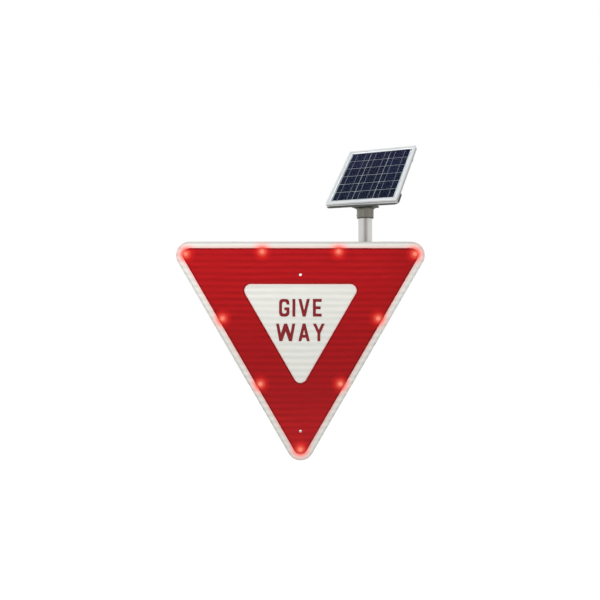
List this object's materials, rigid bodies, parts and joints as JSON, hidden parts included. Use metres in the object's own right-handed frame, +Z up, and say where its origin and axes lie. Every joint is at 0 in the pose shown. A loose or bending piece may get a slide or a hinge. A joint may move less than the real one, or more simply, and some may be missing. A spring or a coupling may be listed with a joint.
{
  "type": "solar flashing road sign",
  "caption": "Triangular road sign with edge lamps, post bar and bolt holes, with a clamped mast, swivel cap and tilting solar panel with battery case.",
  "frame": {"origin": "centre of the post bar's rear face, midway between its two bolt holes", "axes": "+Z up, +Y out of the back of the sign towards the post that carries it, the sign faces -Y"},
  "size_m": [0.8518, 0.3393, 1.1138],
  "materials": {
    "bare_aluminium": "mill finish sheet and extrusion",
    "mast_aluminium": "satin round tube, lightly brushed along its length",
    "frame_aluminium": "clear anodised extrusion",
    "white_sheeting": "retroreflective prismatic film, faintly banded",
    "red_sheeting": "transparent red overlay film on reflective sheeting",
    "lamp_red": "clear red lens, lit from inside",
    "black_plastic": "moulded nylon",
    "rubber": "soft seal and wire jacket",
    "fastener_steel": "zinc plated and stainless",
    "cast_metal": "sand cast, grey-brown",
    "bracket_paint": "powder coated plate",
    "case_plastic": "moulded weatherproof case, fine texture",
    "panel_glass": "tempered, lightly textured",
    "solar_cells": "dark blue polycrystalline cells laminated behind glass",
    "backsheet": "white polymer sheet",
    "battery_wrap": "shrink wrap",
    "circuit_board": "solder mask",
    "button_red": "rubberised cap"
  },
  "bodies": {
    "sign": {"sign_blank": "bare_aluminium", "white_sheeting": "white_sheeting", "red_overlay": "red_sheeting", "lamp_1": "lamp_red", "lamp_2": "lamp_red", "lamp_3": "lamp_red", "lamp_4": "lamp_red", "lamp_5": "lamp_red", "lamp_6": "lamp_red", "lamp_7": "lamp_red", "lamp_8": "lamp_red", "lamp_9": "lamp_red", "raceway_channel_top": "bare_aluminium", "raceway_channel_right": "bare_aluminium", "raceway_channel_left": "bare_aluminium", "raceway_cover_top": "bare_aluminium", "raceway_cover_right": "bare_aluminium", "raceway_cover_left": "bare_aluminium", "raceway_gland": "black_plastic", "lamp_harness": "rubber", "post_bar": "bare_aluminium", "lower_bolt_sleeve": "fastener_steel", "upper_bolt_sleeve": "fastener_steel", "lower_bar_plug": "black_plastic", "upper_bar_plug": "black_plastic", "lower_brace": "bare_aluminium", "upper_brace": "bare_aluminium", "lower_brace_cleat": "bare_aluminium", "upper_brace_cleat": "bare_aluminium", "lower_mast_saddle": "cast_metal", "upper_mast_saddle": "cast_metal", "lower_mast_strap": "cast_metal", "upper_mast_strap": "cast_metal", "lower_clamp_bolt_left": "fastener_steel", "lower_clamp_bolt_right": "fastener_steel", "upper_clamp_bolt_left": "fastener_steel", "upper_clamp_bolt_right": "fastener_steel"},
    "mast": {"mast": "mast_aluminium", "mast_plug": "black_plastic"},
    "cap": {"post_cap": "cast_metal", "tilt_bolt": "fastener_steel", "tilt_nut": "fastener_steel"},
    "panel": {"panel_rail_bottom": "frame_aluminium", "panel_rail_right": "frame_aluminium", "panel_rail_top": "frame_aluminium", "panel_rail_left": "frame_aluminium", "panel_glass": "panel_glass", "solar_cell_sheet": "solar_cells", "panel_backsheet": "backsheet", "panel_junction_box": "black_plastic", "lower_crossbar": "bracket_paint", "upper_crossbar": "bracket_paint", "case_plate": "bracket_paint", "battery_case": "case_plastic", "case_gasket": "rubber", "case_lid": "case_plastic", "battery_pack": "battery_wrap", "control_board": "circuit_board", "cable_gland": "black_plastic"},
    "button": {"power_button": "button_red"}
  },
  "joints": [
    {"name": "mast_height", "type": "slide", "parent": "sign", "child": "mast", "axis": [0, 0, 1], "range_m": [-0.03, 0.04]},
    {"name": "panel_azimuth", "type": "hinge", "parent": "mast", "child": "cap", "pos_m": [0.2262, 0.03, 0.49], "axis": [0, 0, 1], "continuous": true},
    {"name": "panel_tilt", "type": "hinge", "parent": "cap", "child": "panel", "pos_m": [0.2262, 0.03, 0.5247], "axis": [0.9078, -0.4195, 0], "range_deg": [-33, 3.5]},
    {"name": "power_button", "type": "slide", "parent": "panel", "child": "button", "axis": [0.3058, 0.6617, 0.6845], "range_m": [0, 0.0025], "stiffness_N_per_m": 800}
  ]
}
